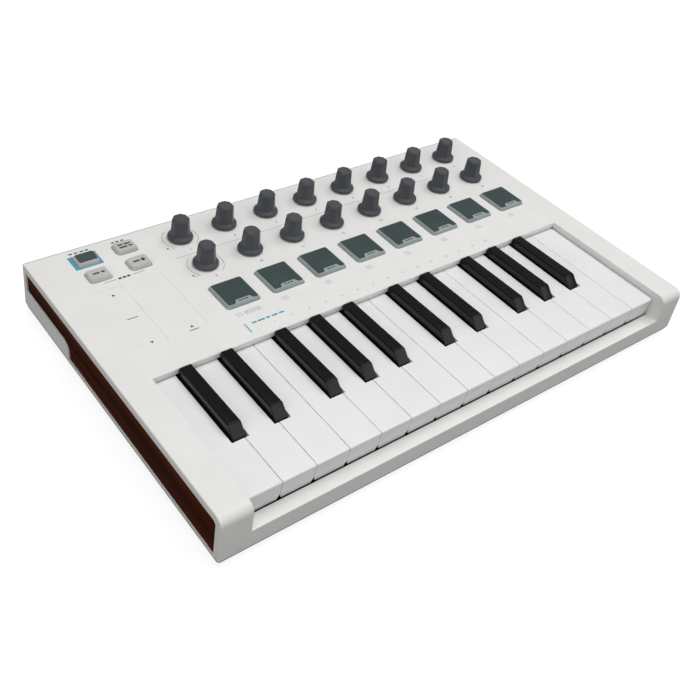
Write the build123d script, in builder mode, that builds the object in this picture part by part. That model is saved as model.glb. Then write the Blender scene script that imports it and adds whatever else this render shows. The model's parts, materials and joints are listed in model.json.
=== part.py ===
"""A small keyboard controller: twenty-five slim keys, sixteen knobs, eight pads, four buttons
and two touch strips in a flat case with wooden side panels.

Millimetres. X runs from the low notes to the high notes, Y from the player to the back, Z up.
The origin is on the table, under the middle of the case. The front of the case faces -Y.
"""

import os

from build123d import *

os.makedirs("parts", exist_ok=True)

# --- driving dimensions -------------------------------------------------------------------

CASE_WIDTH = 355.0
CASE_DEPTH = 220.0
FOOT_HEIGHT = 3.2
BASE_PLATE_THICKNESS = 1.2
CASE_TOP = 34.4
WALL = 2.5
FRONT_ROUNDING = 5.5
OUTLINE_ROUNDING = 0.8

LEFT = -CASE_WIDTH / 2
RIGHT = CASE_WIDTH / 2
FRONT = -CASE_DEPTH / 2
BACK = CASE_DEPTH / 2
BASE_TOP = FOOT_HEIGHT + BASE_PLATE_THICKNESS
PANEL_UNDERSIDE = CASE_TOP - WALL

# keys
WHITE_COUNT = 15
WHITE_PER_OCTAVE = 7
KEYBED_WIDTH = 316.0
WHITE_PITCH = KEYBED_WIDTH / WHITE_COUNT
KEY_GAP = 0.32
KEY_TOP = 29.7
KEY_FRONT = FRONT + 8.2
KEY_SKIRT = 10.5
KEY_FRONT_DROP = 14.5
KEY_WALL = 1.4
KEY_SKIN = 2.2
KEY_EDGE = 0.35
KEY_FRONT_SLOPE = 1.6
# a black key stands between two white keys, a little off their boundary in the outer pairs
BLACK_SHIFT = {0: -2.5, 1: 2.5, 3: -3.5, 4: 0.0, 5: 3.5}
BLACK_WIDTH = 8.0
BLACK_SLOT = 10.4
BLACK_FRONT = FRONT + 43.1
BLACK_FRONT_SLOPE = 6.2
BLACK_TOP_FRONT = 35.8
BLACK_TOP_REAR = 35.0
BLACK_SKIRT = 10.0
BLACK_BEVEL = (0.6, 1.0)

# the opening in the case for the keys
OPENING_HALF = KEYBED_WIDTH / 2 + 0.9
LIP_TOP = 16.2
LIP_REAR = FRONT + 8.7
PANEL_FRONT = -12.4
PANEL_RIM_BOTTOM = 30.6
PANEL_RIM_THICKNESS = 2.0

# the line that all the keys turn about
PIVOT_Y = 4.0
PIVOT_Z = 24.2
PIVOT_ROD_RADIUS = 1.5
PIVOT_BORE_RADIUS = 1.56
TAIL_END = 3.6
WHITE_TAIL_WIDTH = 8.5
BLACK_TAIL_WIDTH = 6.0

# controls
COLUMN_COUNT = 8
COLUMN_PITCH = 32.5
FIRST_COLUMN = -82.7
KNOB_ROWS = (90.2, 59.5)
PAD_ROW = 27.1
BUTTON_PLACES = ((-143.6, 96.0), (-118.0, 96.2), (-144.2, 78.8), (-117.9, 78.8))
STRIP_CENTRES = (-144.8, -118.6)
STRIP_ROW = 36.6
STRIP_SIZE = (17.0, 56.6)
STRIP_DEPTH = 0.25

KNOB_GAP = 0.6
KNOB_TOP = 49.8
KNOB_FLANGE_RADIUS = 8.15
KNOB_FLANGE_HEIGHT = 1.7
KNOB_FACETS = 8
KNOB_FOOT_RADIUS = 6.5
KNOB_HEAD_RADIUS = 5.5
KNOB_BEVEL = 0.9
SHAFT_RADIUS = 3.0
SHAFT_CLEARANCE = 0.05
SHAFT_HOLE_RADIUS = 3.9

PAD_SIZE = 23.2
PAD_TOP_SIZE = 21.4
PAD_CORNER = 2.2
PAD_RISE = 2.0
PAD_CLEARANCE = 0.3
BUTTON_SIZE = (14.0, 11.2)
BUTTON_TOP_SIZE = (12.4, 9.0)
BUTTON_CORNER = 2.4
BUTTON_RISE = 2.3
BUTTON_CLEARANCE = 0.3
FLANGE_THICKNESS = 1.2
FLANGE_MARGIN = 1.1

# main board and what is soldered to it
BOARD_TOP = 23.2
BOARD_THICKNESS = 1.6
BOARD_X = (-157.5, 164.5)
BOARD_Y = (13.0, 98.5)
ENCODER_SIZE = 12.4
ENCODER_HEIGHT = 6.5
BUSHING_RADIUS = 3.5
USB_X = 40.0
USB_SIZE = (12.0, 10.9)
USB_DEPTH = 15.8
USB_TONGUE_SETBACK = 5.2
JACK_X = 75.0
JACK_SIZE = (14.0, 12.0)
JACK_NOSE_RADIUS = 4.4
JACK_BORE_RADIUS = 3.25
JACK_DEPTH = 21.0
LOCK_SLOT_X = 140.0

# screws, all the same
SCREW_RADIUS = 1.5
SCREW_LENGTH = 8.0
SCREW_HEAD_RADIUS = 2.8
SCREW_HEAD_HEIGHT = 1.5
SCREW_PILOT_RADIUS = 1.54
SCREW_CLEAR_RADIUS = 1.75
CASE_POSTS = [(s * x, y) for s in (-1, 1) for x, y in ((167.3, 102.3), (166.5, -98.0), (166.5, -34.0),
                                                     (60.0, 103.0))]
CASE_POST_RADIUS = 3.5
FRAME_BOSSES = [(s * 130.0, y) for s in (-1, 1) for y in (-75.0, -15.0)]
BOARD_POSTS = [(x, y) for x in (-98.95, -1.45, 161.05) for y in (44.0, 75.0)] + [(-131.0, 68.2)]
BOARD_POST_RADIUS = 3.0

# wooden side panels
WOOD_THICKNESS = 2.4
WOOD_SETBACK = 1.0
WOOD_LEG = 4.3
WOOD_BOTTOM = FOOT_HEIGHT + 2.3
WOOD_TOP = CASE_TOP - 4.6
WOOD_FIT = 0.1
NAMEPLATE_START = 50.0
NAMEPLATE_TOP = FOOT_HEIGHT + 12.8
NAMEPLATE_ROUNDING = 7.5

FOOT_RADIUS = 8.0
FOOT_PLACES = [(x, y) for x in (-146.0, 146.0) for y in (-88.0, 88.0)]


# --- places worked out from the dimensions above -------------------------------------------

def white_edge(index):
    """X of the boundary at the left of white key number index."""
    return -KEYBED_WIDTH / 2 + index * WHITE_PITCH


def black_centres():
    """X of the middle of every black key, from low to high."""
    return [white_edge(i + 1) + BLACK_SHIFT[i % WHITE_PER_OCTAVE]
            for i in range(WHITE_COUNT - 1) if i % WHITE_PER_OCTAVE in BLACK_SHIFT]


def white_tail_span(index):
    """X range of a white key behind the fronts of the black keys."""
    left = white_edge(index) + KEY_GAP / 2
    right = white_edge(index + 1) - KEY_GAP / 2
    for centre in black_centres():
        if left < centre + BLACK_SLOT / 2 < right:
            left = centre + BLACK_SLOT / 2
        if left < centre - BLACK_SLOT / 2 < right:
            right = centre - BLACK_SLOT / 2
    return left, right


def tail_spans():
    """X range of every key's tail at the pivot, sorted from low to high."""
    spans = []
    for index in range(WHITE_COUNT):
        middle = sum(white_tail_span(index)) / 2
        spans.append((middle - WHITE_TAIL_WIDTH / 2, middle + WHITE_TAIL_WIDTH / 2))
    for middle in black_centres():
        spans.append((middle - BLACK_TAIL_WIDTH / 2, middle + BLACK_TAIL_WIDTH / 2))
    return sorted(spans)


COLUMNS = [FIRST_COLUMN + i * COLUMN_PITCH for i in range(COLUMN_COUNT)]
KNOB_PLACES = [(x, y) for y in KNOB_ROWS for x in COLUMNS]
PAD_PLACES = [(x, PAD_ROW) for x in COLUMNS]


# --- shapes used more than once --------------------------------------------------------------

def block(x, y, z, mode=Mode.ADD):
    """A rectangular block between three pairs of limits, in the open part builder."""
    with Locations(((x[0] + x[1]) / 2, (y[0] + y[1]) / 2, (z[0] + z[1]) / 2)):
        Box(x[1] - x[0], y[1] - y[0], z[1] - z[0], mode=mode)


def upright(places, radius, bottom, top, mode=Mode.ADD):
    """Upright round posts or holes between two heights."""
    with Locations(*[(x, y, bottom) for x, y in places]):
        Cylinder(radius, top - bottom, align=(Align.CENTER, Align.CENTER, Align.MIN), mode=mode)


def along_pivot(low, high, radius, mode=Mode.ADD):
    """A rod or bore on the pivot line between two X limits."""
    with Locations(((low + high) / 2, PIVOT_Y, PIVOT_Z)):
        Cylinder(radius, high - low, rotation=(0, 90, 0), mode=mode)


def key_tail(middle, width, key_rear):
    """The bar that joins a key to the pivot rod, with the bore for the rod."""
    low, high = middle - width / 2, middle + width / 2
    block((low, high), (key_rear, PIVOT_Y), (PIVOT_Z - TAIL_END, PIVOT_Z + TAIL_END))
    along_pivot(low, high, TAIL_END)
    along_pivot(low - 1, high + 1, PIVOT_BORE_RADIUS, Mode.SUBTRACT)


def finish_part(part, name):
    """Label a finished sub-part and write it."""
    part.label = name
    export_step(part, f"parts/{name}.step")


# --- case -----------------------------------------------------------------------------------

def wood_outline(grow):
    """Outline of a side panel as a sketch, larger by grow all round."""
    with BuildSketch() as outline:
        with BuildLine():
            FilletPolyline(
                (FRONT + WOOD_LEG - grow, WOOD_BOTTOM - grow),
                (NAMEPLATE_START + grow, WOOD_BOTTOM - grow),
                (NAMEPLATE_START + grow, NAMEPLATE_TOP - grow),
                (BACK - WOOD_LEG + grow, NAMEPLATE_TOP - grow),
                (BACK - WOOD_LEG + grow, WOOD_TOP + grow),
                (FRONT + WOOD_LEG - grow, WOOD_TOP + grow),
                radius=(0.6, 0.6, NAMEPLATE_ROUNDING, 0.6, 0.6, 2.4),
                close=True,
            )
        make_face()
    return outline.sketch


def top_case():
    recess = WOOD_THICKNESS + WOOD_SETBACK + WOOD_FIT
    inner_wall = RIGHT - recess - WALL
    cheek_inside = OPENING_HALF + WALL
    with BuildPart() as case:
        # solid block with the rounded front edge
        with BuildSketch(Plane.YZ.offset(LEFT)):
            with BuildLine():
                FilletPolyline(
                    (FRONT, BASE_TOP),
                    (BACK, BASE_TOP),
                    (BACK, CASE_TOP),
                    (FRONT, CASE_TOP),
                    radius=(0.3, 0.3, OUTLINE_ROUNDING, FRONT_ROUNDING),
                    close=True,
                )
            make_face()
        extrude(amount=CASE_WIDTH)
        for side in (case.faces().sort_by(Axis.X)[0], case.faces().sort_by(Axis.X)[-1]):
            outline = side.edges().filter_by(lambda e: e.center().Z > BASE_TOP + 0.2)
            fillet(outline, OUTLINE_ROUNDING)

        # opening for the keys: through the top behind the lip, and above the lip
        block((-OPENING_HALF, OPENING_HALF), (LIP_REAR, PANEL_FRONT), (0, CASE_TOP + 1),
              Mode.SUBTRACT)
        block((-OPENING_HALF, OPENING_HALF), (FRONT - 1, PANEL_FRONT), (LIP_TOP, CASE_TOP + 1),
              Mode.SUBTRACT)
        panel_edge = case.edges().filter_by(Axis.X).filter_by(
            lambda e: abs(e.center().Z - CASE_TOP) < 0.01 and abs(e.center().Y - PANEL_FRONT) < 0.01)
        fillet(panel_edge, 1.2)
        rim = case.edges().filter_by(Axis.Y).filter_by(
            lambda e: abs(e.center().Z - CASE_TOP) < 0.01 and abs(e.center().X) < OPENING_HALF + 1)
        fillet(rim, 0.5)
        lip_edges = case.edges().filter_by(Axis.X).filter_by(
            lambda e: abs(e.center().Z - LIP_TOP) < 0.01)
        fillet(lip_edges, 0.4)

        # hollow under the panel, in both cheeks and behind the lip
        block((-inner_wall, inner_wall), (PANEL_FRONT, BACK - WALL), (0, PANEL_UNDERSIDE),
              Mode.SUBTRACT)
        for side in (-1, 1):
            limits = sorted((side * cheek_inside, side * inner_wall))
            block(limits, (FRONT + WALL + 1, PANEL_FRONT), (0, PANEL_UNDERSIDE), Mode.SUBTRACT)
        block((-OPENING_HALF, OPENING_HALF), (FRONT + WALL, LIP_REAR), (0, LIP_TOP - WALL),
              Mode.SUBTRACT)

        # the front rim of the panel reaches down to the keys
        block((-cheek_inside, cheek_inside), (PANEL_FRONT, PANEL_FRONT + PANEL_RIM_THICKNESS),
              (PANEL_RIM_BOTTOM, PANEL_UNDERSIDE + 0.1))

        # recesses for the wooden side panels
        for start in (LEFT, RIGHT - recess):
            with BuildSketch(Plane.YZ.offset(start)):
                add(wood_outline(0))
            extrude(amount=recess, mode=Mode.SUBTRACT)

        # holes in the panel
        upright(KNOB_PLACES, SHAFT_HOLE_RADIUS, PANEL_UNDERSIDE - 1, CASE_TOP + 1, Mode.SUBTRACT)
        with BuildSketch(Plane.XY.offset(PANEL_UNDERSIDE - 1)):
            with Locations(*PAD_PLACES):
                RectangleRounded(PAD_SIZE + 2 * PAD_CLEARANCE, PAD_SIZE + 2 * PAD_CLEARANCE,
                                 PAD_CORNER + PAD_CLEARANCE)
            with Locations(*BUTTON_PLACES):
                RectangleRounded(BUTTON_SIZE[0] + 2 * BUTTON_CLEARANCE,
                                 BUTTON_SIZE[1] + 2 * BUTTON_CLEARANCE,
                                 BUTTON_CORNER + BUTTON_CLEARANCE)
        extrude(amount=WALL + 2, mode=Mode.SUBTRACT)
        with BuildSketch(Plane.XY.offset(CASE_TOP - STRIP_DEPTH)):
            with Locations(*[(x, STRIP_ROW) for x in STRIP_CENTRES]):
                RectangleRounded(*STRIP_SIZE, 2.5)
        extrude(amount=STRIP_DEPTH + 1, mode=Mode.SUBTRACT)

        # openings in the back wall: data socket, pedal socket and lock slot
        usb_z = BOARD_TOP - BOARD_THICKNESS - USB_SIZE[1] / 2
        jack_z = BOARD_TOP - BOARD_THICKNESS - JACK_SIZE[1] / 2
        with BuildSketch(Plane.XZ.offset(-BACK - 1)):
            with Locations((USB_X, usb_z)):
                RectangleRounded(USB_SIZE[0] + 0.6, USB_SIZE[1] + 0.6, 0.5)
            with Locations((JACK_X, jack_z)):
                Circle(JACK_NOSE_RADIUS + 0.3)
            with Locations((LOCK_SLOT_X, jack_z)):
                SlotOverall(7.2, 3.2)
        extrude(amount=WALL + 2, mode=Mode.SUBTRACT)

        # posts for the screws
        upright(CASE_POSTS, CASE_POST_RADIUS, BASE_TOP, PANEL_UNDERSIDE + 0.5)
        upright(CASE_POSTS, SCREW_PILOT_RADIUS, BASE_TOP - 1, BASE_TOP + SCREW_LENGTH,
                Mode.SUBTRACT)
        upright(BOARD_POSTS, BOARD_POST_RADIUS, BOARD_TOP, PANEL_UNDERSIDE + 0.5)
        upright(BOARD_POSTS, SCREW_PILOT_RADIUS, BOARD_TOP - 1, PANEL_UNDERSIDE - 1, Mode.SUBTRACT)
    finish_part(case.part, "top_case")


def base_plate():
    inset = 0.5
    with BuildPart() as plate:
        with BuildSketch(Plane.XY.offset(FOOT_HEIGHT)):
            RectangleRounded(CASE_WIDTH - 2 * inset, CASE_DEPTH - 2 * inset, 1.5)
            with Locations(*CASE_POSTS, *FRAME_BOSSES):
                Circle(SCREW_CLEAR_RADIUS, mode=Mode.SUBTRACT)
        extrude(amount=BASE_PLATE_THICKNESS)
    finish_part(plate.part, "base_plate")


def wood_side_panels():
    with BuildPart() as panels:
        for start in (LEFT + WOOD_SETBACK, RIGHT - WOOD_SETBACK - WOOD_THICKNESS):
            with BuildSketch(Plane.YZ.offset(start)):
                add(wood_outline(-WOOD_FIT))
            extrude(amount=WOOD_THICKNESS)
    finish_part(panels.part, "wood_side_panels")


def rubber_feet():
    with BuildPart() as feet:
        with BuildSketch():
            with Locations(*FOOT_PLACES):
                Circle(FOOT_RADIUS)
        extrude(amount=FOOT_HEIGHT)
        chamfer(feet.edges().group_by(Axis.Z)[0], 0.6)
    finish_part(feet.part, "rubber_feet")


def screw_row(places, seat):
    """Screws put in from below, with the heads against the height seat and a cross in each."""
    upright(places, SCREW_HEAD_RADIUS, seat - SCREW_HEAD_HEIGHT, seat)
    upright(places, SCREW_RADIUS, seat, seat + SCREW_LENGTH)
    with Locations(*[(x, y, seat - SCREW_HEAD_HEIGHT) for x, y in places]):
        Box(3.2, 0.6, 1.8, mode=Mode.SUBTRACT)
        Box(0.6, 3.2, 1.8, mode=Mode.SUBTRACT)


def case_screws():
    with BuildPart() as screws:
        screw_row(CASE_POSTS + FRAME_BOSSES, FOOT_HEIGHT)
        screw_row(BOARD_POSTS, BOARD_TOP - BOARD_THICKNESS)
    finish_part(screws.part, "case_screws")


# --- keybed and board ------------------------------------------------------------------------

def keybed_frame():
    tray_top = BASE_TOP + WALL
    half = KEYBED_WIDTH / 2 - 0.5
    rear = (PIVOT_Y + 5.5, PIVOT_Y + 7.5)
    rib_thickness = 1.6
    spans = tail_spans()
    ribs = [(a[1] + b[0]) / 2 for a, b in zip(spans, spans[1:])]
    ribs = [spans[0][0] - 2.2] + ribs + [spans[-1][1] + 2.2]
    with BuildPart() as frame:
        block((-half, half), (KEY_FRONT + 4, rear[1]), (BASE_TOP, tray_top))
        block((-half, half), rear, (tray_top, PIVOT_Z - 2))
        for x in ribs:
            block((x - rib_thickness / 2, x + rib_thickness / 2), (PIVOT_Y - 6, rear[0]),
                  (tray_top, PIVOT_Z + 3.5))
        # one guide post stands inside each white key
        for index in range(WHITE_COUNT):
            middle = white_edge(index + 0.5)
            block((middle - 3, middle + 3), (KEY_FRONT + 10, KEY_FRONT + 13), (tray_top, 21.0))
        upright(FRAME_BOSSES, CASE_POST_RADIUS, tray_top, 12.6)
        upright(FRAME_BOSSES, SCREW_PILOT_RADIUS, BASE_TOP - 1, BASE_TOP + SCREW_LENGTH - 1,
                Mode.SUBTRACT)
        along_pivot(ribs[0] - rib_thickness, ribs[-1] + rib_thickness, PIVOT_BORE_RADIUS, Mode.SUBTRACT)
        # steel rod through all the ribs, which every key turns on
        along_pivot(ribs[0] - rib_thickness, ribs[-1] + rib_thickness, PIVOT_ROD_RADIUS)
    finish_part(frame.part, "keybed_frame")


def main_board():
    underside = BOARD_TOP - BOARD_THICKNESS
    half = ENCODER_SIZE / 2
    with BuildPart() as board:
        block(BOARD_X, BOARD_Y, (underside, BOARD_TOP))
        upright(BOARD_POSTS, SCREW_CLEAR_RADIUS, underside - 1, BOARD_TOP + 1, Mode.SUBTRACT)
        # turning encoders, one under each knob
        for x, y in KNOB_PLACES:
            block((x - half, x + half), (y - half, y + half),
                  (BOARD_TOP, BOARD_TOP + ENCODER_HEIGHT))
        upright(KNOB_PLACES, BUSHING_RADIUS, BOARD_TOP + ENCODER_HEIGHT, CASE_TOP - 0.2)
        upright(KNOB_PLACES, SHAFT_RADIUS + SHAFT_CLEARANCE, BOARD_TOP + 1.2, CASE_TOP + 1,
                Mode.SUBTRACT)
        # data socket: a square shell with a tongue inside
        block((USB_X - USB_SIZE[0] / 2, USB_X + USB_SIZE[0] / 2), (BACK - 0.2 - USB_DEPTH, BACK - 0.2),
              (underside - USB_SIZE[1], underside))
        middle = underside - USB_SIZE[1] / 2
        block((USB_X - 4.25, USB_X + 4.25), (BACK - 10, BACK), (middle - 3.9, middle + 3.9),
              Mode.SUBTRACT)
        block((USB_X - 2.8, USB_X + 2.8), (BACK - 10, BACK - USB_TONGUE_SETBACK),
              (middle - 1.6, middle + 1.6))
        # pedal socket: a box with a round nose that reaches into the back wall
        middle = underside - JACK_SIZE[1] / 2
        block((JACK_X - JACK_SIZE[0] / 2, JACK_X + JACK_SIZE[0] / 2),
              (BACK - 0.4 - JACK_DEPTH - 2, BACK - WALL - 0.3), (underside - JACK_SIZE[1], underside))
        with BuildSketch(Plane.XZ.offset(-(BACK - 0.4))):
            with Locations((JACK_X, middle)):
                Circle(JACK_NOSE_RADIUS)
        extrude(amount=WALL)
        with BuildSketch(Plane.XZ.offset(-(BACK - 0.4))):
            with Locations((JACK_X, middle)):
                Circle(JACK_BORE_RADIUS)
        extrude(amount=JACK_DEPTH, mode=Mode.SUBTRACT)
    finish_part(board.part, "main_board")


# --- keys ------------------------------------------------------------------------------------

def white_key(index):
    left = white_edge(index) + KEY_GAP / 2
    right = white_edge(index + 1) - KEY_GAP / 2
    tail_left, tail_right = white_tail_span(index)
    notch = BLACK_FRONT - 1.4
    rear = PANEL_FRONT + 1.5
    bottom = KEY_TOP - KEY_SKIRT
    front_bottom = KEY_TOP - KEY_FRONT_DROP
    with BuildPart() as key:
        with BuildSketch(Plane.XY.offset(bottom)) as plan:
            with Locations(((left + right) / 2, (KEY_FRONT + notch) / 2)):
                Rectangle(right - left, notch - KEY_FRONT)
            with Locations(((tail_left + tail_right) / 2, (notch + rear) / 2 - 2)):
                Rectangle(tail_right - tail_left, rear - notch + 4)
        extrude(amount=KEY_SKIRT)
        block((left, right), (KEY_FRONT, KEY_FRONT + 3.4), (front_bottom, bottom))
        # the front leans back towards its foot
        with BuildSketch(Plane.YZ.offset(left - 1)):
            with BuildLine():
                Polyline((KEY_FRONT, KEY_TOP - 1.5), (KEY_FRONT - 1, KEY_TOP - 1.5),
                         (KEY_FRONT - 1, front_bottom - 1),
                         (KEY_FRONT + KEY_FRONT_SLOPE, front_bottom - 1), close=True)
            make_face()
        extrude(amount=WHITE_PITCH + 2, mode=Mode.SUBTRACT)
        # lower front corners are cut away
        with BuildSketch(Plane.XZ.offset(-KEY_FRONT - 4)):
            for x, inward in ((left, 1), (right, -1)):
                with BuildLine():
                    Polyline((x, bottom + 0.2), (x + inward * 1.5, front_bottom), (x, front_bottom),
                             close=True)
                make_face()
        extrude(amount=6, mode=Mode.SUBTRACT)
        top = key.faces().sort_by(Axis.Z)[-1]
        front_edge = top.edges().sort_by(Axis.Y)[0]
        fillet(front_edge, 1.2)
        top = key.faces().filter_by(Axis.Z).sort_by(Axis.Z)[-1]
        fillet(top.edges().filter_by(Axis.Y), KEY_EDGE)
        # hollow from below
        with BuildSketch(Plane.XY.offset(front_bottom)):
            add(plan.sketch)
            offset(amount=-KEY_WALL, kind=Kind.INTERSECTION, mode=Mode.REPLACE)
        pocket = KEY_TOP - KEY_SKIN - front_bottom
        extrude(amount=pocket, mode=Mode.SUBTRACT)
        key_tail((tail_left + tail_right) / 2, WHITE_TAIL_WIDTH, rear - 1)
    finish_part(key.part, f"white_key_{index + 1:02d}")


def black_key(number, middle):
    rear = PANEL_FRONT - 0.5
    left = middle - BLACK_WIDTH / 2
    right = middle + BLACK_WIDTH / 2
    bottom = KEY_TOP - BLACK_SKIRT
    step = KEY_TOP - 0.6
    slope_foot = KEY_TOP - 0.5
    slope_rise = BLACK_TOP_FRONT - slope_foot
    bevel_across, bevel_down = BLACK_BEVEL
    with BuildPart() as key:
        # bevelled section, a little lower at the rear than at the front
        for y, top in ((BLACK_FRONT, BLACK_TOP_FRONT), (rear, BLACK_TOP_REAR)):
            with BuildSketch(Plane.XZ.offset(-y)):
                with BuildLine():
                    Polyline((left, bottom), (left, top - bevel_down), (left + bevel_across, top),
                             (right - bevel_across, top), (right, top - bevel_down),
                             (right, bottom), close=True)
                make_face()
        loft(ruled=True)
        # the front leans back
        with BuildSketch(Plane.YZ.offset(left - 1)):
            with BuildLine():
                Polyline(
                    (BLACK_FRONT, slope_foot),
                    (BLACK_FRONT + 2 * BLACK_FRONT_SLOPE, slope_foot + 2 * slope_rise),
                    (BLACK_FRONT - 1, slope_foot + 2 * slope_rise),
                    (BLACK_FRONT - 1, slope_foot),
                    close=True,
                )
            make_face()
        extrude(amount=BLACK_WIDTH + 2, mode=Mode.SUBTRACT)
        upper = key.edges().filter_by(lambda e: e.center().Z > KEY_TOP + 1)
        fillet(upper, 0.35)
        # narrow step under the edge of the panel, and the hollow inside
        block((middle - BLACK_TAIL_WIDTH / 2, middle + BLACK_TAIL_WIDTH / 2), (rear - 1, rear + 3),
              (PIVOT_Z - TAIL_END, step - 1.2))
        block((left + KEY_WALL, left + BLACK_WIDTH - KEY_WALL), (BLACK_FRONT + 2, rear - KEY_WALL),
              (bottom - 1, KEY_TOP + 1), Mode.SUBTRACT)
        key_tail(middle, BLACK_TAIL_WIDTH, rear - 1)
    finish_part(key.part, f"black_key_{number:02d}")


# --- knobs, pads and buttons -------------------------------------------------------------------

def knob(number, x, y):
    foot = CASE_TOP + KNOB_GAP
    shoulder = foot + KNOB_FLANGE_HEIGHT
    bore_top = KNOB_TOP - 3.5
    with BuildPart() as cap:
        # round flange with a sloping top
        with BuildSketch(Plane.XZ.offset(-y)):
            with BuildLine():
                FilletPolyline(
                    (x, foot),
                    (x + KNOB_FLANGE_RADIUS, foot),
                    (x + KNOB_FLANGE_RADIUS, shoulder),
                    (x + KNOB_FOOT_RADIUS - 1.0, shoulder + 1.8),
                    (x, shoulder + 1.8),
                    radius=(0.01, 0.4, 0.9, 0.01, 0.01),
                    close=True,
                )
            make_face()
        revolve(axis=Axis((x, y, 0), (0, 0, 1)))
        # faceted grip that narrows towards the top
        for height, radius in ((foot + 0.5, KNOB_FOOT_RADIUS), (KNOB_TOP - KNOB_BEVEL, KNOB_HEAD_RADIUS),
                               (KNOB_TOP, KNOB_HEAD_RADIUS - KNOB_BEVEL)):
            with BuildSketch(Plane.XY.offset(height)):
                with Locations((x, y)):
                    RegularPolygon(radius, KNOB_FACETS, rotation=180 / KNOB_FACETS)
                    fillet(vertices(), 0.6)
        loft(ruled=True)
        upright([(x, y)], SHAFT_RADIUS + 0.03, foot - 1, bore_top, Mode.SUBTRACT)
        # the encoder's shaft turns with the knob
        upright([(x, y)], SHAFT_RADIUS, BOARD_TOP + 1.6, bore_top - 0.4)
    finish_part(cap.part, f"knob_{number:02d}")


def keycap(name, place, size, top_size, corner, rise, stem_bottom):
    """A pad or button: a sloping top, a flange that keeps it under the panel, and a stem."""
    x, y = place
    flange_top = PANEL_UNDERSIDE - 0.3
    flange_bottom = flange_top - FLANGE_THICKNESS
    with BuildPart() as cap:
        with BuildSketch(Plane.XY.offset(flange_bottom)):
            with Locations(place):
                RectangleRounded(size[0] + 2 * FLANGE_MARGIN, size[1] + 2 * FLANGE_MARGIN, corner)
        extrude(amount=FLANGE_THICKNESS)
        with BuildSketch(Plane.XY.offset(flange_bottom)):
            with Locations(place):
                RectangleRounded(*size, corner)
        extrude(amount=CASE_TOP + 0.1 - flange_bottom)
        with BuildSketch(Plane.XY.offset(CASE_TOP + 0.1)):
            with Locations(place):
                RectangleRounded(*size, corner)
        with BuildSketch(Plane.XY.offset(CASE_TOP + rise)):
            with Locations(place):
                RectangleRounded(*top_size, corner * 0.7)
        loft()
        fillet(cap.faces().sort_by(Axis.Z)[-1].edges(), 0.3)
        block((x - top_size[0] / 2 + 2, x + top_size[0] / 2 - 2),
              (y - top_size[1] / 2 + 2, y + top_size[1] / 2 - 2), (stem_bottom, flange_bottom))
    finish_part(cap.part, name)


top_case()
base_plate()
wood_side_panels()
rubber_feet()
case_screws()
keybed_frame()
main_board()
for white in range(WHITE_COUNT):
    white_key(white)
for black, centre_x in enumerate(black_centres(), start=1):
    black_key(black, centre_x)
for knob_number, (knob_x, knob_y) in enumerate(KNOB_PLACES, start=1):
    knob(knob_number, knob_x, knob_y)
for pad_number, pad_place in enumerate(PAD_PLACES, start=1):
    keycap(f"pad_{pad_number}", pad_place, (PAD_SIZE, PAD_SIZE), (PAD_TOP_SIZE, PAD_TOP_SIZE),
           PAD_CORNER, PAD_RISE, BOARD_TOP + 1.4)
for button_number, button_place in enumerate(BUTTON_PLACES, start=1):
    keycap(f"button_{button_number}", button_place, BUTTON_SIZE, BUTTON_TOP_SIZE,
           BUTTON_CORNER, BUTTON_RISE, BOARD_TOP + 1.8)
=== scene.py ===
import json
import math

import bmesh
import bpy
from mathutils import Matrix, Vector

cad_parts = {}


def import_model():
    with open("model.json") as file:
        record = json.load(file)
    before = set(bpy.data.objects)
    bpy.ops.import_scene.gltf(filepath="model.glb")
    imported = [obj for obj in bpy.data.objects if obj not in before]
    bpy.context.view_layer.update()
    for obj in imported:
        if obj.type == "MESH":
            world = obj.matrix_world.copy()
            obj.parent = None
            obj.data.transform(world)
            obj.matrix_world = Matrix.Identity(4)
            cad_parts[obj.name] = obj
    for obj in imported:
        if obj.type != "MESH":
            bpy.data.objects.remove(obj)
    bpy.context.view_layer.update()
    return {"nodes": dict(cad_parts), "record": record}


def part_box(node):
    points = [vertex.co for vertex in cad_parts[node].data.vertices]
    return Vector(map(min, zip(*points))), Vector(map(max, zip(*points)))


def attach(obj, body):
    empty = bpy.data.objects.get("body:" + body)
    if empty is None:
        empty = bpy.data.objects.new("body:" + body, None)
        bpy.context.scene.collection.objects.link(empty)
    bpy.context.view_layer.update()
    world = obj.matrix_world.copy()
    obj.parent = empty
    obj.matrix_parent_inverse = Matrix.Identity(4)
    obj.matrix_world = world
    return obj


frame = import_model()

NODES = frame["nodes"]
BODIES = frame["record"]["behaviour"]["bodies"]
BODY_OF = {node: body for body, nodes in BODIES.items() for node in nodes}
MM = 0.001
UP = Vector((0, 0, 1))

# the level of the panel and the rear face of the case, in millimetres
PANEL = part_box("top_case")[1][2] / MM
CASE_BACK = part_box("top_case")[1][1] / MM

# thin layers on the case, in millimetres
INK_HEIGHT = 0.05
FACE = 0.22
STRIP_DEPTH = 0.25

# where the laminate lies in the height of the whole board assembly, from 0 to 1
BOARD_BAND = (0.485, 0.556)

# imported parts: the angle from which an edge counts as sharp, in degrees
SHARP_ANGLE = 30

# print: the width of a thin line in millimetres, and the size of the font for figures 1 mm high
HAIRLINE = 0.25
FONT_SCALE = 1.4

# the stage round the object, in metres
FLOOR_HALF = 6.0
FLOOR_DROP = 0.0001
DOME_RADIUS = 5.9


def middle(node):
    """X and Y of the middle of a node, in millimetres."""
    low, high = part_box(node)
    return (low[0] + high[0]) / 2 / MM, (low[1] + high[1]) / 2 / MM


KNOBS = [f"knob_{i:02d}" for i in range(1, 17)]
PADS = [f"pad_{i}" for i in range(1, 9)]
BUTTONS = [f"button_{i}" for i in range(1, 5)]
WHITE_KEYS = [f"white_key_{i:02d}" for i in range(1, 16)]
BLACK_KEYS = [f"black_key_{i:02d}" for i in range(1, 11)]


# --- materials ------------------------------------------------------------------------------

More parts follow.
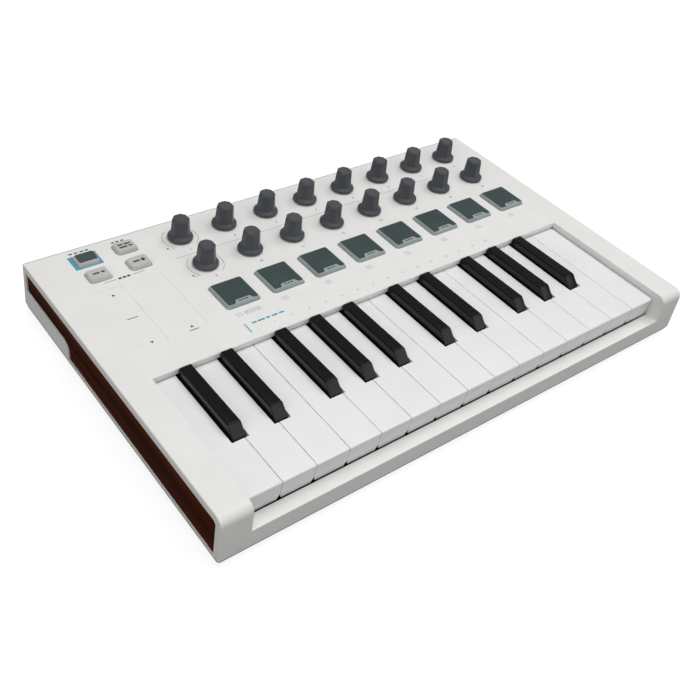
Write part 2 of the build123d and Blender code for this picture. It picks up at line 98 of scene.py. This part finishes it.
def hex_colour(code):
    """Turn an sRGB hex colour into the linear colour that a shader reads."""
    channels = [int(code[i:i + 2], 16) / 255 for i in (1, 3, 5)]
    linear = [c / 12.92 if c <= 0.04045 else ((c + 0.055) / 1.055) ** 2.4 for c in channels]
    return (*linear, 1.0)


def add_node(tree, kind, settings=None, inputs=None):
    """Add a shader node with its settings, and set or link its inputs."""
    node = tree.nodes.new(kind)
    for name, value in (settings or {}).items():
        setattr(node, name, value)
    for name, value in (inputs or {}).items():
        if isinstance(value, bpy.types.NodeSocket):
            tree.links.new(value, node.inputs[name])
        else:
            node.inputs[name].default_value = value
    return node


def new_material(name):
    """An empty node material and its tree."""
    material = bpy.data.materials.new(name)
    material.use_nodes = True
    material.node_tree.nodes.clear()
    return material, material.node_tree


def colour_ramp(tree, factor, stops, blend="LINEAR"):
    """A ramp through (position, hex colour) stops; blend says how it goes from stop to stop."""
    ramp = add_node(tree, "ShaderNodeValToRGB", inputs={"Fac": factor})
    ramp.color_ramp.interpolation = blend
    elements = ramp.color_ramp.elements
    while len(elements) < len(stops):
        elements.new(0.5)
    for element, (position, code) in zip(elements, stops):
        element.position = position
        element.color = hex_colour(code)
    return ramp.outputs["Color"]


def grain(tree, size, detail=2.0, stretch=(1, 1, 1)):
    """Noise whose lumps are size millimetres across, drawn out along an axis by stretch."""
    place = add_node(tree, "ShaderNodeTexCoord")
    mapping = add_node(tree, "ShaderNodeMapping", inputs={
        "Vector": place.outputs["Object"], "Scale": [1 / s for s in stretch]})
    noise = add_node(tree, "ShaderNodeTexNoise", inputs={
        "Vector": mapping.outputs["Vector"], "Scale": 1 / (size * MM), "Detail": detail})
    return noise.outputs["Fac"]


def spread(tree, value, low, high):
    """Map a 0 to 1 pattern to the range low to high."""
    node = add_node(tree, "ShaderNodeMapRange", inputs={
        "Value": value, "To Min": low, "To Max": high})
    return node.outputs["Result"]


def surface(material, tree, inputs):
    """Close a material with a principled shader."""
    shader = add_node(tree, "ShaderNodeBsdfPrincipled", inputs=inputs)
    add_node(tree, "ShaderNodeOutputMaterial", inputs={"Surface": shader.outputs["BSDF"]})
    return material


def moulded(name, colours, roughness, texture, depth, mottle=18.0, extra=None):
    """A moulded finish: a spark-eroded texture, with slow changes of tone and of gloss.

    texture is the grain of the mould in millimetres, depth its height in millimetres.
    """
    material, tree = new_material(name)
    slow = grain(tree, mottle, 3.0)
    fine = grain(tree, texture, 2.0)
    bump = add_node(tree, "ShaderNodeBump", inputs={
        "Height": fine, "Distance": depth * MM, "Strength": 0.6})
    tone = colour_ramp(tree, slow, ((0.3, colours[0]), (0.7, colours[1])))
    inputs = {"Base Color": tone, "Roughness": spread(tree, fine, *roughness),
              "Normal": bump.outputs["Normal"], "IOR": 1.5}
    inputs.update(extra or {})
    return surface(material, tree, inputs)


def soldered_board():
    """Green solder mask on the laminate; the sockets below it and the encoders on it are black."""
    material, tree = new_material("board_and_black_sockets")
    place = add_node(tree, "ShaderNodeTexCoord")
    split = add_node(tree, "ShaderNodeSeparateXYZ", inputs={"Vector": place.outputs["Object"]})
    low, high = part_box("main_board")[0][2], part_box("main_board")[1][2]
    level = add_node(tree, "ShaderNodeMapRange", inputs={
        "Value": split.outputs["Z"], "From Min": low, "From Max": high})
    laminate = colour_ramp(tree, level.outputs["Result"], (
        (0.0, "#161617"), (BOARD_BAND[0], "#1f4d34"), (BOARD_BAND[1], "#161617")), "CONSTANT")
    fine = grain(tree, 1.2)
    bump = add_node(tree, "ShaderNodeBump", inputs={"Height": fine, "Distance": 0.02 * MM})
    return surface(material, tree, {
        "Base Color": laminate, "Roughness": spread(tree, fine, 0.3, 0.45),
        "Normal": bump.outputs["Normal"]})


def key_plastic():
    """Keyboard ABS: polished on top for a soft sheen, and coarsely spark-textured on the fronts."""
    material, tree = new_material("semi_gloss_key_abs")
    facing = add_node(tree, "ShaderNodeNewGeometry")
    split = add_node(tree, "ShaderNodeSeparateXYZ", inputs={"Vector": facing.outputs["Normal"]})
    front = add_node(tree, "ShaderNodeMath", {"operation": "LESS_THAN"},
                     {0: split.outputs["Y"], 1: -0.93})
    polish = grain(tree, 0.9)
    # the real grain is near 0.2 mm, drawn at 0.6 mm so that it shows
    spark = grain(tree, 0.6, 1.0)
    depth = spread(tree, front.outputs["Value"], 0.006 * MM, 0.09 * MM)
    texture = add_node(tree, "ShaderNodeMix", {"data_type": "FLOAT"},
                       {0: front.outputs["Value"], 2: polish, 3: spark})
    bump = add_node(tree, "ShaderNodeBump", inputs={
        "Height": texture.outputs[0], "Distance": depth})
    tone = colour_ramp(tree, grain(tree, 25.0, 3.0), ((0.3, "#e3e3e4"), (0.7, "#e7e7e8")))
    gloss = spread(tree, texture.outputs[0], 0.24, 0.4)
    return surface(material, tree, {
        "Base Color": tone, "Roughness": gloss, "Normal": bump.outputs["Normal"], "IOR": 1.5})


# white ABS with a satin spark texture: soft highlights, no mirror reflections
CASE_ABS = moulded("satin_white_abs", ("#e0dfdc", "#e4e3e1"), (0.42, 0.56), 0.45, 0.03)
# polished ABS: cooler white than the case, a soft sheen along rounded edges
KEY_ABS = key_plastic()
# black ABS, nearly polished: deep tops, and flanks that catch a grey band of light
BLACK_ABS = moulded("grained_black_abs", ("#080707", "#0d0c0b"), (0.14, 0.24), 0.5, 0.006,
                    extra={"Specular IOR Level": 0.28})
# soft-touch paint over ABS: charcoal, broad dull highlights
SOFT_TOUCH = moulded("soft_touch_charcoal", ("#373b40", "#3f4348"), (0.46, 0.62), 0.35, 0.015,
                     extra={"Sheen Weight": 0.15, "Sheen Roughness": 0.5})
# silicone rubber, cast and slightly cloudy: grey-green, faintly see-through rim
PAD_SILICONE = moulded("cloudy_grey_silicone", ("#8c9896", "#98a3a1"), (0.38, 0.52), 0.6, 0.01,
                       extra={"Subsurface Weight": 0.1, "Subsurface Scale": 0.002, "IOR": 1.41})
# dark backing that shows through a clear silicone skin: smoother than the rim
PAD_FACE = moulded("dark_pad_skin", ("#364242", "#3c4949"), (0.36, 0.48), 0.9, 0.012,
                   extra={"Specular IOR Level": 0.35, "IOR": 1.41})
# grey silicone caps: even, dull
BUTTON_SILICONE = moulded("grey_button_silicone", ("#b2b2b0", "#bcbcba"), (0.45, 0.6), 0.5, 0.012,
                          extra={"IOR": 1.41})
# clear silicone skin over dark print on the first button: slightly glossy
BUTTON_FACE = moulded("dark_button_skin", ("#3a4444", "#424d4e"), (0.35, 0.45), 0.7, 0.01)
# glass-filled nylon frame under the keys: black and dull
FRAME_NYLON = moulded("black_nylon_frame", ("#202122", "#292a2b"), (0.5, 0.65), 0.8, 0.03)
# epoxy coated steel sheet: orange-peel texture
BASE_PAINT = moulded("powder_coated_steel", ("#29292a", "#333334"), (0.42, 0.6), 1.1, 0.06)
# fibreglass board under green solder mask: glossier than the black sockets on it
BOARD_MASK = soldered_board()
# natural rubber feet, moulded, a little dusty
FOOT_RUBBER = moulded("black_foot_rubber", ("#191919", "#242423"), (0.65, 0.85), 0.7, 0.04)
# zinc plated steel: bright, with a fine turned grain
SCREW_ZINC = moulded("zinc_plated_steel", ("#8f9296", "#a5a8ab"), (0.25, 0.4), 0.4, 0.01,
                     extra={"Metallic": 1.0, "IOR": 1.45})
# screen printing inks: flat, dull films with slight changes of tone
DARK_INK = moulded("charcoal_ink", ("#2a2a2c", "#353537"), (0.5, 0.6), 0.3, 0.004, mottle=3.0)
# the grey ink also draws the painted shade line along the rear edge of the panel
GREY_INK_AND_SHADE = moulded("grey_ink_and_painted_shade", ("#8c8e92", "#9a9ca0"), (0.5, 0.6), 0.3, 0.004, mottle=3.0)
BLUE_INK = moulded("sky_blue_ink", ("#3c93ac", "#499eb6"), (0.5, 0.6), 0.3, 0.004, mottle=3.0)
PALE_INK = moulded("pale_blue_ink", ("#86a9bd", "#93b4c6"), (0.5, 0.6), 0.3, 0.004, mottle=3.0)


def oiled_rosewood():
    """Rosewood under oil: near black red-brown with thin lighter streaks along the panel."""
    material, tree = new_material("oiled_rosewood")
    along = (1, 60, 1)
    streaks = grain(tree, 1.6, 6.0, along)
    bands = grain(tree, 7.0, 3.0, along)
    mixed = add_node(tree, "ShaderNodeMath", {"operation": "MULTIPLY"}, {0: streaks, 1: bands})
    wide = spread(tree, mixed.outputs["Value"], 0.0, 2.0)
    tone = colour_ramp(tree, wide, (
        (0.15, "#180600"), (0.45, "#361202"), (0.65, "#572206"), (0.85, "#753a10")))
    pores = grain(tree, 0.5, 2.0, (1, 14, 1))
    bump = add_node(tree, "ShaderNodeBump", inputs={
        "Height": pores, "Distance": 0.04 * MM, "Strength": 0.5})
    return surface(material, tree, {
        "Base Color": tone, "Roughness": spread(tree, streaks, 0.45, 0.62),
        "Normal": bump.outputs["Normal"], "IOR": 1.5, "Specular IOR Level": 0.02})


ROSEWOOD = oiled_rosewood()


# --- shapes -----------------------------------------------------------------------------------

def new_object(name, bm, material):
    """Turn a bmesh in metres into an object of one material."""
    mesh = bpy.data.meshes.new(name)
    bm.to_mesh(mesh)
    bm.free()
    made = bpy.data.objects.new(name, mesh)
    bpy.context.scene.collection.objects.link(made)
    made.data.materials.append(material)
    return made


def piece(name, bm, material, body, smooth=False):
    """Make a piece from a bmesh in millimetres, in the row's frame, and fix it to a body."""
    bmesh.ops.scale(bm, vec=(MM, MM, MM), verts=bm.verts)
    bmesh.ops.recalc_face_normals(bm, faces=bm.faces)
    for face in bm.faces:
        face.smooth = smooth
    made = new_object(name, bm, material)
    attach(made, body)


def move(bm, verts, x, y, z=0.0):
    """Move vertices by x, y and z."""
    bmesh.ops.translate(bm, vec=(x, y, z), verts=verts)


def thicken(bm, x, y, z):
    """Extrude all the faces, and move the copy by x, y and z."""
    copy = bmesh.ops.extrude_face_region(bm, geom=bm.faces[:])["geom"]
    move(bm, [part for part in copy if isinstance(part, bmesh.types.BMVert)], x, y, z)


def corners(left, front, right, back):
    """The four corners of a flat rectangle, from the front left."""
    return (left, front), (right, front), (right, back), (left, back)


def bar(bm, x, y, width, height):
    """A flat rectangle of print centred on x, y."""
    made = bmesh.ops.create_grid(bm, x_segments=1, y_segments=1, size=0.5)["verts"]
    bmesh.ops.scale(bm, vec=(width, height, 1), verts=made)
    move(bm, made, x, y)


def frame_line(bm, x, y, width, height, line):
    """A rectangular outline of print."""
    bar(bm, x, y + (height - line) / 2, width, line)
    bar(bm, x, y - (height - line) / 2, width, line)
    bar(bm, x + (width - line) / 2, y, line, height - 2 * line)
    bar(bm, x - (width - line) / 2, y, line, height - 2 * line)


def arrow(bm, x, y, size, turn):
    """A small solid triangle; turn is in degrees, 0 points to +X."""
    made = bmesh.ops.create_circle(bm, cap_ends=True, segments=3, radius=size)["verts"]
    bmesh.ops.rotate(bm, matrix=Matrix.Rotation(math.radians(turn - 90), 3, "Z"), verts=made)
    move(bm, made, x, y)


def arc(bm, x, y, radius, line, start, sweep):
    """An open ring of print, from the angle start through sweep, in degrees."""
    before = set(bm.verts)
    turn = Matrix.Rotation(math.radians(start), 3, "Z")
    radii = (radius - line / 2, radius + line / 2)
    ends = [bm.verts.new(turn @ Vector((r, 0, 0))) for r in radii]
    edge = bm.edges.new(ends)
    bmesh.ops.spin(bm, geom=ends + [edge], axis=UP, cent=(0, 0, 0), angle=math.radians(sweep),
                   steps=40)
    move(bm, [vert for vert in bm.verts if vert not in before], x, y)


def field(bm, x, y):
    """The printed field round the first button, open where the button comes through."""
    outer = corners(-9.6, -7.2, 8.3, 6.3)
    inner = corners(-7.35, -5.95, 7.35, 5.95)
    before = set(bm.faces)
    for outline, rounding in ((outer, 0.5), (inner, 2.7)):
        face = bm.faces.new([bm.verts.new((px, py, 0)) for px, py in outline])
        bmesh.ops.bevel(bm, geom=face.verts[:], offset=rounding, segments=5, affect="VERTICES",
                        profile=0.5, material=-1)
    # keep the two outlines and fill between them
    made = [face for face in bm.faces if face not in before]
    edges = [edge for face in made for edge in face.edges]
    verts = [vert for face in made for vert in face.verts]
    bmesh.ops.delete(bm, geom=made, context="FACES_ONLY")
    bmesh.ops.triangle_fill(bm, edges=edges, use_beauty=True)
    move(bm, verts, x, y)


def figures(bm, text, x, y, size):
    """Printed figures centred on x, y; size is their height in millimetres."""
    curve = bpy.data.curves.new("figures", "FONT")
    curve.body = text
    curve.size = size * FONT_SCALE
    curve.align_x = "CENTER"
    curve.align_y = "CENTER"
    curve.resolution_u = 3
    holder = bpy.data.objects.new("figures", curve)
    bpy.context.scene.collection.objects.link(holder)
    mesh = bpy.data.meshes.new_from_object(holder)
    mesh.transform(Matrix.Translation((x, y, 0)))
    bm.from_mesh(mesh)
    bpy.data.objects.remove(holder)
    bpy.data.curves.remove(curve)
    bpy.data.meshes.remove(mesh)


def printed(name, bm, material, body, height):
    """Give flat print a film thickness and lay it on a surface at height."""
    bmesh.ops.remove_doubles(bm, verts=bm.verts, dist=0.0005)
    thicken(bm, 0, 0, INK_HEIGHT)
    move(bm, bm.verts, 0, 0, height)
    piece(name, bm, material, body)


def plate(bm, outline, thickness, rounding, edge):
    """A thin plate with rounded corners and a softened upper edge, standing on z = 0."""
    face = bm.faces.new([bm.verts.new((x, y, 0)) for x, y in outline])
    bmesh.ops.bevel(bm, geom=face.verts[:], offset=rounding, segments=4, affect="VERTICES",
                    profile=0.5, material=-1)
    thicken(bm, 0, 0, thickness)
    rim = [e for e in bm.edges if all(v.co.z > thickness / 2 for v in e.verts)]
    bmesh.ops.bevel(bm, geom=rim, offset=edge, segments=3, affect="EDGES", profile=0.5, material=-1)


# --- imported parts: finish and softened edges ---------------------------------------------------

def finish_node(name, material, soften=0.0):
    """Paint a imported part, join its loose triangles, soften its edges and shade it smooth."""
    sharp = math.radians(SHARP_ANGLE)
    part = NODES[name]
    if not part.material_slots:
        part.data.materials.append(material)
    for slot in part.material_slots:
        slot.material = material
    part.data.shade_smooth()
    weld = part.modifiers.new("join", "WELD")
    weld.merge_threshold = 0.002 * MM
    if soften:
        bevel = part.modifiers.new("soften", "BEVEL")
        bevel.width = soften * MM
        bevel.segments = 2
        bevel.limit_method = "ANGLE"
        bevel.angle_limit = sharp
    split = part.modifiers.new("shade", "EDGE_SPLIT")
    split.split_angle = sharp


finish_node("top_case", CASE_ABS)
finish_node("base_plate", BASE_PAINT)
finish_node("wood_side_panels", ROSEWOOD)
finish_node("rubber_feet", FOOT_RUBBER)
finish_node("case_screws", SCREW_ZINC)
finish_node("keybed_frame", FRAME_NYLON)
finish_node("main_board", BOARD_MASK)
for key in WHITE_KEYS:
    finish_node(key, KEY_ABS)
for key in BLACK_KEYS:
    finish_node(key, BLACK_ABS, 0.12)
for knob in KNOBS:
    finish_node(knob, SOFT_TOUCH)
for pad in PADS:
    finish_node(pad, PAD_SILICONE)
for button in BUTTONS:
    finish_node(button, BUTTON_SILICONE)


# --- pad and button faces -----------------------------------------------------------------------

def pad_face(pad):
    """The dark skin on a pad, with a bay in its front edge where the paler rubber shows."""
    x, y = middle(pad)
    bm = bmesh.new()
    half = 10.3
    bay = ((-5.4, -half), (-4.3, -half + 3.0), (5.8, -half + 3.0), (6.9, -half))
    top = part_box(pad)[1][2] / MM
    plate(bm, ((-half, -half), *bay, (half, -half), (half, half), (-half, half)), FACE, 0.8, 0.12)
    move(bm, bm.verts, x, y, top - FACE / 3)
    piece(f"{pad}_face", bm, PAD_FACE, BODY_OF[pad])
    bm = bmesh.new()
    for dx, width in ((-1.6, 1.6), (0.6, 1.4), (2.8, 1.6)):
        bar(bm, x + dx, y - half + 1.5, width, 0.9)
    printed(f"{pad}_sign", bm, DARK_INK, BODY_OF[pad], top)


for pad in PADS:
    pad_face(pad)


def button_print():
    """A dark face on the first button, and a sign on each of the others."""
    x, y = middle("button_1")
    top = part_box("button_1")[1][2] / MM
    bm = bmesh.new()
    plate(bm, corners(-6.0, -4.3, 6.0, 4.3), FACE, 1.3, 0.1)
    move(bm, bm.verts, x, y, top - FACE / 3)
    piece("button_1_face", bm, BUTTON_FACE, BODY_OF["button_1"])
    # place and width of every bar: two rows on the second button, one on the others
    one_row = ((-1.4, 0.0, 4.2), (2.9, 0.0, 2.4))
    two_rows = ((-2.6, 1.3, 3.2), (2.0, 1.3, 4.2), (-1.6, -1.3, 5.2), (3.2, -1.3, 2.4))
    for name, signs in (("button_2", two_rows), ("button_3", one_row), ("button_4", one_row)):
        x, y = middle(name)
        bm = bmesh.new()
        for dx, dy, width in signs:
            bar(bm, x + dx, y + dy, width, 1.3)
        # an upright turns the short bar of the last sign into a plus
        if name == "button_4":
            bar(bm, x + 2.9, y, 1.1, 2.8)
        printed(f"{name}_sign", bm, DARK_INK, BODY_OF[name], top)


button_print()


# --- sockets in the back ----------------------------------------------------------------------

# nickel plated steel: a warm white shine, a little scuffed
SOCKET_METAL = moulded("nickel_plated_steel", ("#a9aaac", "#b7b8ba"), (0.22, 0.34), 0.5, 0.006,
                       extra={"Metallic": 1.0, "IOR": 1.45})
MOUNTS = {mount["name"]: mount for mount in frame["record"]["mounts"]}
OPENINGS = {opening["name"]: opening for opening in frame["record"]["physics"]["openings"]}


def jack_ring():
    """A nickel ring in the mouth of the pedal socket."""
    mount = MOUNTS["pedal_jack"]
    x, y, z = (c / MM for c in mount["pos_m"])
    radius = mount["dims"]["r_mm"]
    bm = bmesh.new()
    # each point is a distance outside the bore and a height over the mouth
    section = ((0.02, -1.6), (0.02, 0.1), (0.4, 0.3), (1.1, 0.1), (1.1, -0.02))
    verts = [bm.verts.new((radius + out, height, 0)) for out, height in section]
    edges = [bm.edges.new(pair) for pair in zip(verts, verts[1:])]
    bmesh.ops.spin(bm, geom=verts + edges, axis=(0, 1, 0), cent=(0, 0, 0), angle=math.tau, steps=48,
                   use_merge=True)
    move(bm, bm.verts, x, y, z)
    piece("pedal_jack_ring", bm, SOCKET_METAL, "case", smooth=True)


def data_socket_shell():
    """The folded steel shell of the data socket: a square tube with two cut corners."""
    low, high = ([c / MM for c in corner] for corner in OPENINGS["data_socket_mouth"]["box_m"])
    x, z = (low[0] + high[0]) / 2, (low[2] + high[2]) / 2
    half_width, half_height, cut = 4.22, 3.88, 1.6
    wall, depth, sunk = 0.35, 8.0, 0.15
    bm = bmesh.new()
    outline = ((-half_width, -half_height), (half_width, -half_height),
               (half_width, half_height - cut), (half_width - cut, half_height),
               (-half_width + cut, half_height), (-half_width, half_height - cut))
    face = bm.faces.new([bm.verts.new((px, 0, pz)) for px, pz in outline])
    bmesh.ops.inset_region(bm, faces=[face], thickness=wall, use_boundary=True,
                           use_even_offset=True)
    bmesh.ops.delete(bm, geom=[face], context="FACES_ONLY")
    thicken(bm, 0, -depth, 0)
    move(bm, bm.verts, x, CASE_BACK - sunk, z)
    piece("data_socket_shell", bm, SOCKET_METAL, "case")


jack_ring()
data_socket_shell()


# --- print on the panel, and a painted shade line at its rear edge ------------------------------

def knob_print(dark, grey):
    """A figure under every knob, rings round the first ones, lines along the rows, and a grey line
    of painted shade along the rear edge of the panel.
    """
    for number, name in enumerate(KNOBS, start=1):
        x, y = middle(name)
        figures(dark, str(number), x, y - 13.0, 1.9)
    # an open ring, an arrow and a short line round the first knob of each row
    ring_radius, ring_line = 11.4, 0.35
    for name in ("knob_01", "knob_09"):
        x, y = middle(name)
        arc(grey, x, y, ring_radius, ring_line, -60, 150)
        arc(grey, x, y, ring_radius, ring_line, 120, 100)
        arrow(dark, x - 12.5, y - 6.6, 1.0, 180)
        bar(grey, x - 9.6, y - 8.0, 4.5, HAIRLINE)
    # a fine grey line just inside the rear edge of the panel: painted shade, standing in for the
    # dark rounded rear edge
    bar(grey, 0.0, CASE_BACK - 1.2, 352.0, 0.3)
    # a line between the rows, from knob to knob
    left, right = middle("knob_09")[0] - 13.3, middle("knob_16")[0] - 8.0
    between_rows = (middle("knob_01")[1] + middle("knob_09")[1]) / 2 - 2.5
    bar(grey, (left + right) / 2, between_rows, right - left, HAIRLINE)


def pad_print(pale):
    """A boxed figure under every pad, and a longer box with four bars beside the first."""
    row = middle("pad_1")[1] - 17.9
    box_height, box_line = 3.0, 0.3
    for number, name in enumerate(PADS, start=1):
        x = middle(name)[0] - 8.0
        frame_line(pale, x, row, 3.6, box_height, box_line)
        figures(pale, str(number), x, row, 1.7)
    x = middle("pad_1")[0]
    frame_line(pale, x + 1.2, row, 11.0, box_height, box_line)
    for step in range(4):
        bar(pale, x - 2.4 + step * 2.4, row, 1.5, 0.9)


def key_print(grey, blue):
    """A row of figures over the keys, after a blue mark and a row of blue bars."""
    first, pitch, row = -75.6, 12.3, -5.4
    for number in range(1, 16):
        figures(grey, str(number), first + (number - 1) * pitch, row, 1.7)
    bar(blue, -92.7, -3.0, 0.8, 8.0)
    for step, width in enumerate((3.2, 4.6, 2.6, 4.0, 3.4)):
        bar(blue, -86.6 + step * 4.7, -0.4, width, 1.3)


def button_surround(dark, blue):
    """The field round the first button, and the signs over and under the four buttons."""
    x, y = middle("button_1")
    field(blue, x, y)
    for dx in (-6.0, -2.6, 1.2, 4.4):
        bar(dark, x + dx, y + 9.0, 2.2, 1.1)
    x, y = middle("button_2")
    for dx in (-4.2, -1.2, 2.2):
        bar(dark, x + dx, y + 8.2, 2.0, 1.1)
    # two short lines with a sign between them, under the lower pair
    row = middle("button_3")[1] - 7.9
    x = (middle("button_3")[0] + middle("button_4")[0]) / 2
    for dx in (-9.8, 9.0):
        bar(dark, x + dx, row, 7.6, 0.3)
    for dx in (-3.2, -0.4, 2.4):
        bar(dark, x + dx, row, 2.0, 1.5)


def panel_print():
    """All the print on the panel, and the painted shade line along its rear edge, one piece for
    each ink.
    """
    dark, grey, blue, pale = (bmesh.new() for _ in range(4))
    knob_print(dark, grey)
    pad_print(pale)
    key_print(grey, blue)
    button_surround(dark, blue)
    # the grey piece also holds the painted shade line along the rear edge of the panel
    for name, bm, ink in (("dark", dark, DARK_INK), ("grey", grey, GREY_INK_AND_SHADE),
                          ("blue", blue, BLUE_INK), ("pale", pale, PALE_INK)):
        printed(f"panel_print_{name}", bm, ink, "case", PANEL)


def strip_print():
    """Arrows and centre lines in the two touch strips."""
    left, right = -145.0, -119.4
    arrow_size, line = 1.2, 0.5
    bm = bmesh.new()
    arrow(bm, left - 0.1, 58.5, arrow_size, 90)
    bar(bm, left + 0.2, 35.8, 6.7, line)
    arrow(bm, left, 13.1, arrow_size, -90)
    arrow(bm, right, 13.8, arrow_size, 90)
    bar(bm, right, 10.9, 5.9, line)
    printed("strip_print", bm, DARK_INK, "case", PANEL - STRIP_DEPTH)


panel_print()
strip_print()


# --- floor, light and camera --------------------------------------------------------------------

def floor():
    """A wide pale sweep under the object."""
    bm = bmesh.new()
    bmesh.ops.create_grid(bm, x_segments=1, y_segments=1, size=FLOOR_HALF)
    move(bm, bm.verts, 0, 0, -FLOOR_DROP)
    material, tree = new_material("pale_paper")
    tone = colour_ramp(tree, grain(tree, 400.0), ((0.3, "#868686"), (0.7, "#8a8a8a")))
    paper = add_node(tree, "ShaderNodeBsdfPrincipled", inputs={
        "Base Color": tone, "Roughness": 0.9, "Specular IOR Level": 0.0,
        "Emission Color": hex_colour("#ffffff"), "Emission Strength": 0.84})
    # nothing hides the underside of the object from below
    clear = add_node(tree, "ShaderNodeBsdfTransparent")
    side = add_node(tree, "ShaderNodeNewGeometry")
    either = add_node(tree, "ShaderNodeMixShader", inputs={
        0: side.outputs["Backfacing"], 1: paper.outputs["BSDF"], 2: clear.outputs["BSDF"]})
    add_node(tree, "ShaderNodeOutputMaterial", inputs={"Surface": either.outputs["Shader"]})
    made = new_object("floor", bm, material)
    made.visible_diffuse = False
    made.visible_glossy = False


def backdrop():
    """A plain white dome round the object; it gives no light of its own to the object."""
    bm = bmesh.new()
    bmesh.ops.create_icosphere(bm, subdivisions=4, radius=DOME_RADIUS)
    bmesh.ops.reverse_faces(bm, faces=bm.faces)
    material, tree = new_material("white_backdrop")
    glow = add_node(tree, "ShaderNodeEmission", inputs={
        "Color": hex_colour("#eeeeee"), "Strength": 1.0})
    add_node(tree, "ShaderNodeOutputMaterial", inputs={"Surface": glow.outputs["Emission"]})
    made = new_object("backdrop", bm, material)
    for ray in ("diffuse", "glossy", "transmission", "shadow"):
        setattr(made, f"visible_{ray}", False)


def area_light(name, place, target, size, power):
    """A soft square light of size metres at place, aimed at target."""
    data = bpy.data.lights.new(name, "AREA")
    data.size = size
    data.energy = power
    light = bpy.data.objects.new(name, data)
    light.location = place
    light.rotation_euler = (Vector(target) - Vector(place)).to_track_quat("-Z", "Y").to_euler()
    bpy.context.scene.collection.objects.link(light)


def camera():
    """The camera stands at the front left, above the object, and is tilted a little."""
    azimuth, elevation, roll = (math.radians(a) for a in (-42.79, 36.367, 9.119))
    target = Vector((0.01644, 0.05303, 0.0032))
    distance = 0.65907
    back = Vector((math.sin(azimuth) * math.cos(elevation),
                   -math.cos(azimuth) * math.cos(elevation), math.sin(elevation)))
    right = (-back).cross(UP).normalized()
    above = right.cross(-back)
    tilted_right = math.cos(roll) * right + math.sin(roll) * above
    tilted_above = math.cos(roll) * above - math.sin(roll) * right
    data = bpy.data.cameras.new("camera")
    data.sensor_width = 36.0
    data.lens = 49.64
    data.shift_x = 0.0239
    data.shift_y = -0.1219
    data.clip_start = 0.01
    data.clip_end = 50.0
    made = bpy.data.objects.new("camera", data)
    turn = Matrix((tilted_right, tilted_above, back)).transposed().to_4x4()
    made.matrix_world = Matrix.Translation(target + distance * back) @ turn
    bpy.context.scene.collection.objects.link(made)
    bpy.context.scene.camera = made


def world():
    """An even white sky that fills the shadows."""
    made = bpy.data.worlds.new("studio")
    made.use_nodes = True
    tree = made.node_tree
    tree.nodes.clear()
    sky = add_node(tree, "ShaderNodeBackground", inputs={
        "Color": hex_colour("#ffffff"), "Strength": 0.27})
    add_node(tree, "ShaderNodeOutputWorld", inputs={"Surface": sky.outputs["Background"]})
    bpy.context.scene.world = made


floor()
backdrop()
world()
# name, place, point aimed at and size in metres, and power in watts
for light in (("overhead", (0.15, -0.05, 1.7), (0.0, 0.0, 0.0), 1.8, 21.0),
              ("edge_glint", (1.1, 0.15, 1.7), (0.0, 0.0, 0.0), 0.5, 5.0),
              ("front_fill", (0.9, -1.5, 0.5), (0.0, 0.0, 0.0), 1.0, 4.5),
              ("left_fill", (-1.5, -0.5, 0.8), (0.1, 0.0, 0.0), 1.0, 6.0)):
    area_light(*light)
camera()
bpy.context.scene.view_settings.view_transform = "Standard"
